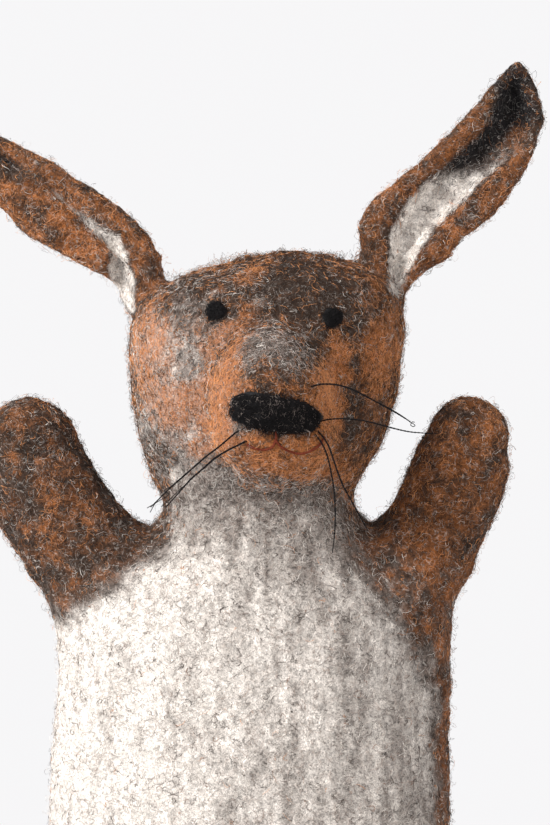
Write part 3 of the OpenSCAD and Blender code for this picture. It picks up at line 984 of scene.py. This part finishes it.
def grow(roots, length, lift, curl, height, seed):
    """Rows of points that wander over the felt from each root, and stand off it by lift in between."""
    rng = np.random.default_rng(seed)
    count = len(roots)
    here = roots.copy()
    out = outward(outside, here)
    way = unit(np.cross(out, rng.normal(size=(count, 3))))
    bend = curl * rng.normal(size=count)
    stride = length / (FIBRE_STEPS - 1)
    lines, ups = [], []
    for step in range(FIBRE_STEPS):
        t = step / (FIBRE_STEPS - 1)
        want = lift * math.sin(math.pi * min(1, 0.1 + 0.9 * t)) ** 0.8 - 0.1
        here = here + out * (want + height(here) - sample(outside, here))[:, None]
        out = outward(outside, here)
        lines.append(here)
        ups.append(out)
        turn = bend + 0.75 * curl * rng.normal(size=count)
        side = np.cross(out, way)
        way = way * np.cos(turn)[:, None] + side * np.sin(turn)[:, None]
        way -= out * (way * out).sum(1, keepdims=True)
        way = unit(way)
        here = here + way * stride[:, None]
    return np.stack(lines, 1), np.stack(ups, 1)


def add_fibres(name, roots, wool, lift, seed, length=(2.0, 6.0), radius=(0.030, 0.056), height=lumps):
    """One mesh of many curly fibres; wool is the number of each one's colour."""
    rng = np.random.default_rng(seed)
    reach = rng.uniform(*length, len(roots))
    lines, ups = grow(roots, reach, lift, 1.1, height, seed + 1)
    coarse = 1 + 0.9 * ((rng.random(len(roots)) > 0.6) & (lift < 0.7))
    points, quads, ends = tubes(lines, rng.uniform(*radius, len(roots)) * coarse, ups)
    sides = 3 * (FIBRE_STEPS - 1)
    looks = np.concatenate([np.repeat(wool, sides), wool, wool])
    return add_mesh(name, points, [quads, ends], fibre_looks, face_materials=looks)


def scatter(points, faces, count, seed):
    """Random places spread evenly over four-sided faces."""
    rng = np.random.default_rng(seed)
    area = np.linalg.norm(face_crosses(points, faces), axis=1)
    chosen = rng.choice(len(faces), count, p=area / area.sum())
    u, v = rng.random((2, count, 1))
    corner = points[faces[chosen]]
    low = corner[:, 0] * (1 - u) + corner[:, 1] * u
    high = corner[:, 3] * (1 - u) + corner[:, 2] * u
    return low * (1 - v) + high * v


def choose_wool(points, seed):
    """The colour number of a fibre at each point: mostly the felt's own, and often another."""
    rng = np.random.default_rng(seed)
    scores = 1.1 * wool_scores(points)
    # More white fibres on the right cheek, as painted light.
    scores[:, WOOL_NAMES.index("white")] += 0.6 * painted_light_cheek(points) - 0.4
    scores[:, WOOL_NAMES.index("grey")] += 0.45
    scores[:, WOOL_NAMES.index("brown")] += 0.5
    luck = -np.log(-np.log(rng.uniform(1e-6, 1 - 1e-6, scores.shape)))
    wool = np.argmax(scores + luck, axis=1)
    again = rng.random(len(points))
    grey = wool == WOOL_NAMES.index("grey")
    wool[grey & (again < 0.2)] = WOOL_NAMES.index("white")
    wool[grey & (again > 0.75)] = WOOL_NAMES.index("brown")
    return wool


def under_pads(points):
    """True where a point is behind the nose or an eye."""
    covered = np.zeros(len(points), bool)
    for pad in (NOSE, LEFT_EYE, RIGHT_EYE):
        covered |= pad.share_out(points[:, 0], points[:, 2]) < 0.98
    return covered & (points[:, 1] < -20)


def on_mouth(points):
    """True where a point is so near the mouth that a fibre from it would hide the stitches."""
    near = np.zeros(len(points), bool)
    for stitch in MOUTH:
        for start, end in zip(stitch, stitch[1:]):
            _, off_x, off_z = beside(points[:, 0], points[:, 2], start, end)
            near |= np.hypot(off_x, off_z) < 1.4
    return near & (points[:, 1] < -20)


FIBRES_PER_MM2 = {"body_skin": 0.5, "head_skin": 1.6}
USUAL_PER_MM2 = 1.1
shown_faces = on_show[skin_faces].all(1)


def fibres_over(region, number):
    """The fibres that stand on one piece of the skin; number picks their random draws."""
    faces = skin_faces[(face_regions == region) & shown_faces]
    area = 0.5 * np.linalg.norm(face_crosses(skin_points, faces), axis=1).sum()
    count = int(area * FIBRES_PER_MM2.get(region, USUAL_PER_MM2))
    roots = scatter(skin_points, faces, count, 100 + number)
    roots = roots[~under_pads(roots) & ~on_mouth(roots) & (roots[:, 2] > 2.5)]
    luck = np.random.default_rng(200 + number).random(len(roots))
    lift = 0.12 + 0.4 * luck + 1.1 * smooth(0.7, 1.0, luck) + 1.0 * smooth(0.97, 1.0, luck)
    wool = choose_wool(roots, 300 + number)
    return add_fibres(region.replace("skin", "fibres"), roots, wool, lift, 400 + number)


for number, region in enumerate(SKIN_REPLACES):
    fibres = fibres_over(region, number)
    attach(fibres, region)


# ---- Nose and eyes

def black_with_painted_sheen(points):
    """Black wool with a painted grey-blue sheen towards the nose's right end."""
    # Painted sheen: a grey-blue tint on the nose's right end, the side the window light falls on.
    painted_sheen = smooth(4, -9, points[:, 0]) * (points[:, 2] < 225) * (0.5 + 0.5 * noise(points, 2.5, 8.8))
    base = np.array([0.006, 0.0055, 0.006])
    return base + painted_sheen[:, None] * np.array([0.018, 0.021, 0.026])


# Its darker lines are darker fibres and also painted shadow between the curls.
black_look = wool_material("black_wool", (0.05, 0.05, 0.055), (0.002, 0.002, 0.002), 0.4)
for name, pad, count, grey_share, length, rise in (
    ("nose", NOSE, 2600, 0.07, (2.0, 6.5), 1), ("left_eye", LEFT_EYE, 200, 0.0, (1.5, 3.5), 0.3),
    ("right_eye", RIGHT_EYE, 200, 0.0, (1.5, 3.5), 0.3),
):
    piece = pad.mesh(name + "_pad", black_look, black_with_painted_sheen)
    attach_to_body(piece, "head")
    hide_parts(name)
    roots = pad.roots(count, 31)
    luck = np.random.default_rng(32).random(count)
    wool = np.where(luck < grey_share, WOOL_NAMES.index("grey"), WOOL_NAMES.index("black"))
    lift = 0.3 + 1.3 * smooth(0.6, 1.0, luck) * rise
    hair = add_fibres(name + "_fibres", roots, wool, lift, 33, length, (0.045, 0.10), pad.height)
    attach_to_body(hair, "head")


# ---- Threads
# A ply's radius as a share of its thread's
PLY_SHARE = 0.72
def smooth_route(points, pieces=8):
    """A smooth line through given points."""
    p = np.array(points, float)
    p = np.concatenate([[2 * p[0] - p[1]], p, [2 * p[-1] - p[-2]]])
    out = []
    for a, b, c, d in zip(p, p[1:], p[2:], p[3:]):
        for t in np.arange(pieces) / pieces:
            square = (2 * a - 5 * b + 4 * c - d) * t * t
            cube = (3 * b - a - 3 * c + d) * t ** 3
            out.append(0.5 * (2 * b + (c - a) * t + square + cube))
    out.append(p[-2])
    return np.array(out)


def across_line(line):
    """Two directions across a line at each of its points."""
    forward = unit(np.gradient(line, axis=0))
    u = unit(np.cross([0.05, 1.0, 0.02], forward))
    return u, np.cross(forward, u)


def strand(line, radius, sides=6):
    """A closed round tube along a line; radius may change along it."""
    n = len(line)
    radius = np.broadcast_to(radius, n)
    u, v = across_line(line)
    turns = 2 * math.pi * np.arange(sides) / sides
    ring = u[:, None] * np.cos(turns)[None, :, None] + v[:, None] * np.sin(turns)[None, :, None]
    points = (line[:, None] + radius[:, None, None] * ring).reshape(-1, 3)
    i, j = np.meshgrid(np.arange(n - 1) * sides, np.arange(sides), indexing="ij")
    k = (j + 1) % sides
    quads = np.stack([i + j, i + k, i + sides + k, i + sides + j], -1).reshape(-1, 4)
    caps = np.stack([np.arange(sides)[::-1], (n - 1) * sides + np.arange(sides)])
    return points, quads, caps


def plied(line, radius, pitch=2.4):
    """The two plies of a twisted thread along a line: each one's line and radius."""
    step = np.linalg.norm(np.diff(line, axis=0), axis=1)
    run = np.concatenate([[0], np.cumsum(step)])
    u, v = across_line(line)
    turn = (2 * math.pi * run / pitch)[:, None]
    aside = 0.36 * radius * (u * np.cos(turn) + v * np.sin(turn))
    return [(line + aside, PLY_SHARE * radius), (line - aside, PLY_SHARE * radius)]


def thread_piece(name, strands, look):
    """One mesh of several strands: each a line and its radius."""
    points, quads, caps = [], [], []
    start = 0
    for line, radius in strands:
        some_points, some_quads, some_caps = strand(line, radius)
        points.append(some_points)
        quads.append(some_quads + start)
        caps.append(some_caps + start)
        start += len(some_points)
    return add_mesh(name, np.concatenate(points), [np.concatenate(quads), np.concatenate(caps)], [look])


black_thread = thread_material("black_thread", (0.004, 0.004, 0.004), (0.016, 0.015, 0.016))
red_thread = thread_material("red_thread", (0.09, 0.017, 0.010), (0.19, 0.048, 0.026))

# The whiskers' routes, as they are in the CAD part: x, y, z
WHISKERS = {
    "whisker_right_upper": [
        (-3, -57, 209), (-6, -59, 207), (-9, -59.5, 204.5), (-12, -59.5, 202), (-16, -58.5, 199),
        (-20, -57, 195.5), (-24, -55, 192), (-28, -53, 188.5), (-31, -51.5, 185.5), (-34, -50, 182.5),
    ],
    "whisker_right_lower": [
        (1, -56, 206), (-2, -58.5, 204.5), (-5, -59.5, 203), (-9, -59.5, 201), (-13, -59, 198.5),
        (-17, -57.5, 195), (-21, -56, 191.5), (-25, -54, 187), (-29, -52, 182.5),
    ],
    "whisker_left_upper": [
        (18.5, -56, 222), (21, -58, 222.6), (24, -59, 222.8), (28, -59, 222.3), (32, -58.5, 221),
        (36, -57.5, 219), (41, -56, 216.3), (46, -54.5, 213.5), (51, -53, 210.5),
    ],
    "whisker_left_lower": [
        (21, -54.5, 210.5), (24, -57, 211.2), (28, -58, 211.5), (33, -58, 211.2), (38, -57.5, 210.3),
        (44, -56.5, 208.7), (50, -55, 207.3), (55, -53.5, 206.8), (60, -52, 206.5),
    ],
    "whisker_chin_inner": [
        (18, -55.5, 208), (20.5, -57.5, 205.5), (22.5, -58, 202.5), (24, -57.5, 198.5),
        (25, -56.5, 194), (26, -55.5, 188), (26.4, -54.5, 181), (26.2, -53.5, 174), (25.5, -52.5, 167.5),
    ],
    "whisker_chin_outer": [
        (19.5, -55, 208.5), (22, -57.5, 206), (24, -58.5, 203), (25.5, -59, 199), (27, -58.5, 194.5),
        (29, -57.5, 189.5), (32, -56.5, 184), (35, -55.5, 178.5), (37, -54.5, 175),
    ],
}

# Loose ends: fine strands that leave a whisker's line near its far end
ENDS = {
    "whisker_right_upper": [
        [(-27, -53.2, 189.4), (-29.5, -51.8, 188.0), (-28.2, -52.6, 186.6), (-31.5, -51.0, 184.4),
         (-35.2, -49.6, 182.2)],
        [(-30, -52, 186.4), (-32.6, -51.2, 183.6), (-34.2, -50.4, 180.8)],
    ],
    "whisker_right_lower": [
        [(-20, -56.3, 192.4), (-24.5, -53.6, 188.2), (-27.6, -51.8, 185.2), (-30.6, -50.8, 182.6)],
    ],
    "whisker_left_upper": [
        [(41, -55.7, 216.5), (45, -54.4, 214.4), (49, -53.3, 211.9), (51, -53, 210.3), (52.0, -52.7, 209.8),
         (52.5, -53.0, 209.2), (51.9, -53.5, 208.9), (51.1, -53.3, 209.4), (51.6, -52.8, 210.4),
         (52.4, -52.9, 210.3)],
    ],
}
LOOSE_END_RADIUS = 0.13

# The radius that each whisker's two plies are laid out from
THREAD_RADIUS = {"whisker_right_lower": 0.36, "whisker_left_lower": 0.27}
USUAL_THREAD_RADIUS = 0.31

for name, points in WHISKERS.items():
    route = smooth_route(points)
    radius = THREAD_RADIUS.get(name, USUAL_THREAD_RADIUS)
    thinner = radius * (1 - 0.45 * smooth(0.6, 1.0, np.linspace(0, 1, len(route))))
    strands = [(line, PLY_SHARE * thinner) for line, _ in plied(route, radius)]
    strands += [(smooth_route(end), LOOSE_END_RADIUS) for end in ENDS.get(name, [])]
    whisker = thread_piece(name + "_thread", strands, black_thread)
    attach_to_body(whisker, "head")
    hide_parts(name)
    length = np.linalg.norm(np.diff(route, axis=0), axis=1).sum() * MM

mouth_strands = []
for points in MOUTH:
    flat = smooth_route([(x, 0, z) for x, z in points])
    flat[:, 1] = face_depth(flat[:, 0], flat[:, 2]) - 0.6 - 0.12 * np.sin(np.arange(len(flat)) * 0.8)
    mouth_strands += plied(flat, 0.42, 2.2)
mouth = thread_piece("mouth_stitches", mouth_strands, red_thread)
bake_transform(mouth)
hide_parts("mouth_thread")


# ---- Camera, floor and light

# The floor's radius in metres, and the white that surrounds it
FLOOR_RADIUS = 1.28
STUDIO_WHITE = (0.93, 0.925, 0.935)


def map_range(tree, value, low, high):
    """A node that goes from 0 to 1 as a value goes from low to high."""
    node = tree.nodes.new("ShaderNodeMapRange")
    node.inputs["From Min"].default_value = low
    node.inputs["From Max"].default_value = high
    tree.links.new(value, node.inputs["Value"])
    return node


def fade_to_white(tree, place, shader):
    """Turns the floor into the studio's white towards its rim, so that no edge shows."""
    flat = tree.nodes.new("ShaderNodeVectorMath")
    flat.operation = "LENGTH"
    tree.links.new(place, flat.inputs[0])
    share = map_range(tree, flat.outputs["Value"], 0.45, 0.97 * FLOOR_RADIUS)
    share.interpolation_type = "SMOOTHSTEP"
    glow = tree.nodes.new("ShaderNodeEmission")
    glow.inputs["Color"].default_value = (*STUDIO_WHITE, 1)
    mixed = tree.nodes.new("ShaderNodeMixShader")
    tree.links.new(share.outputs[0], mixed.inputs["Fac"])
    tree.links.new(shader.outputs[0], mixed.inputs[1])
    tree.links.new(glow.outputs[0], mixed.inputs[2])
    tree.links.new(mixed.outputs[0], tree.nodes["Material Output"].inputs["Surface"])


def add_floor():
    """A round pale floor; the studio's white shows all round beyond it."""
    turns = np.linspace(0, 2 * math.pi, 96, endpoint=False)
    rim = np.stack([np.cos(turns), np.sin(turns), 0 * turns], 1) * FLOOR_RADIUS / MM
    look, shader = principled("floor_paper", (0.62, 0.62, 0.625), 0.9)
    tree = look.node_tree
    place = tree.nodes.new("ShaderNodeTexCoord").outputs["Object"]
    add_bump(tree, shader, noise_node(tree, place, 60, 4), 0.06, 0.001)
    fade_to_white(tree, place, shader)
    add_mesh("floor", rim, np.arange(len(rim))[None], [look])


def add_studio():
    """White all round: brighter near the ground than overhead."""
    world = bpy.data.worlds.new("studio")
    world.use_nodes = True
    tree = world.node_tree
    split = tree.nodes.new("ShaderNodeSeparateXYZ")
    tree.links.new(tree.nodes.new("ShaderNodeTexCoord").outputs["Generated"], split.inputs[0])
    height = map_range(tree, split.outputs["Z"], 0.12, 0.5)
    colour = mix_node(tree, height.outputs[0], STUDIO_WHITE, (0.46, 0.46, 0.47))
    tree.links.new(colour, tree.nodes["Background"].inputs["Color"])
    bpy.context.scene.world = world


def add_light(name, place, target, size, power, tint=(1, 1, 1)):
    data = bpy.data.lights.new(name, "AREA")
    data.size = size
    data.energy = power
    data.color = tint
    light = bpy.data.objects.new(name, data)
    light.location = place
    aim = np.array(target) - np.array(place)
    flat = math.hypot(aim[0], aim[1])
    light.rotation_euler = (math.atan2(flat, -aim[2]), 0, math.atan2(-aim[0], aim[1]))
    bpy.context.scene.collection.objects.link(light)


add_floor()
add_studio()
add_light("window", (-1.7, -1.15, 1.1), (0, 0, 0.2), 0.9, 72, (1.0, 0.98, 0.95))
add_light("fill", (1.6, -1.6, 0.7), (0, 0, 0.2), 1.6, 17, (1.0, 0.93, 0.85))

camera_data = bpy.data.cameras.new("camera")
camera_data.sensor_fit = "VERTICAL"
camera_data.sensor_height = 36
camera_data.lens = 313
camera_data.clip_end = 20
camera = bpy.data.objects.new("camera", camera_data)
camera.location = (0.0067, -2.4, 0.2135)
camera.rotation_euler = (math.radians(90), 0, 0)
bpy.context.scene.collection.objects.link(camera)
bpy.context.scene.camera = camera
bpy.context.scene.view_settings.view_transform = "Standard"
